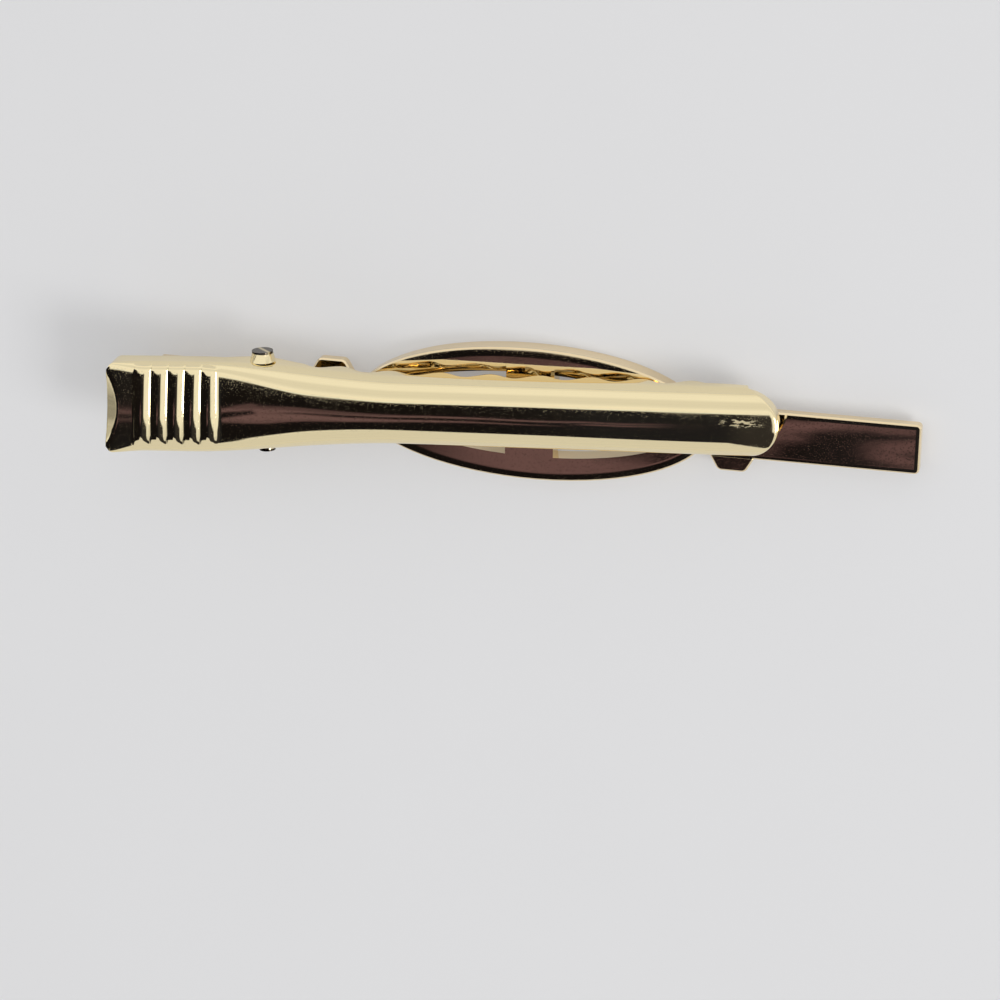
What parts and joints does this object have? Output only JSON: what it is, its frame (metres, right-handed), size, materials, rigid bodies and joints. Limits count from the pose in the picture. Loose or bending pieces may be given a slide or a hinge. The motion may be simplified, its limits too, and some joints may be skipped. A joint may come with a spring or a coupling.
{
  "type": "tie clip",
  "caption": "Gold-plated alligator tie clip: slim bar with a pierced oval and side lugs, and a sprung channel arm with a ribbed thumb pad and wavy jaw that pinches the tie.",
  "frame": {"origin": "middle of the front face of the oval, on which the clip lies", "axes": "+X along the bar from the thumb pad to the free end, +Z from the front towards the arm"},
  "size_m": [0.0595, 0.01, 0.0069],
  "materials": {
    "front_plating": "polished",
    "hinge_plating": "satin",
    "pin_plating": "satin",
    "spring_wire": "drawn wire",
    "arm_plating": "polished"
  },
  "bodies": {
    "bar": {"front_bar": "front_plating", "hinge_bracket": "hinge_plating", "hinge_pin": "pin_plating", "torsion_spring": "spring_wire"},
    "arm": {"clip_arm": "arm_plating"}
  },
  "joints": [
    {"name": "arm_pivot", "type": "hinge", "parent": "bar", "child": "arm", "pos_m": [-0.0194, -0.0002, 0.004], "axis": [0.0436, -0.999, 0], "range_deg": [0, 18], "stiffness_Nm_per_rad": 0.01, "springref_deg": -5.73, "deforming": ["torsion_spring"]}
  ]
}
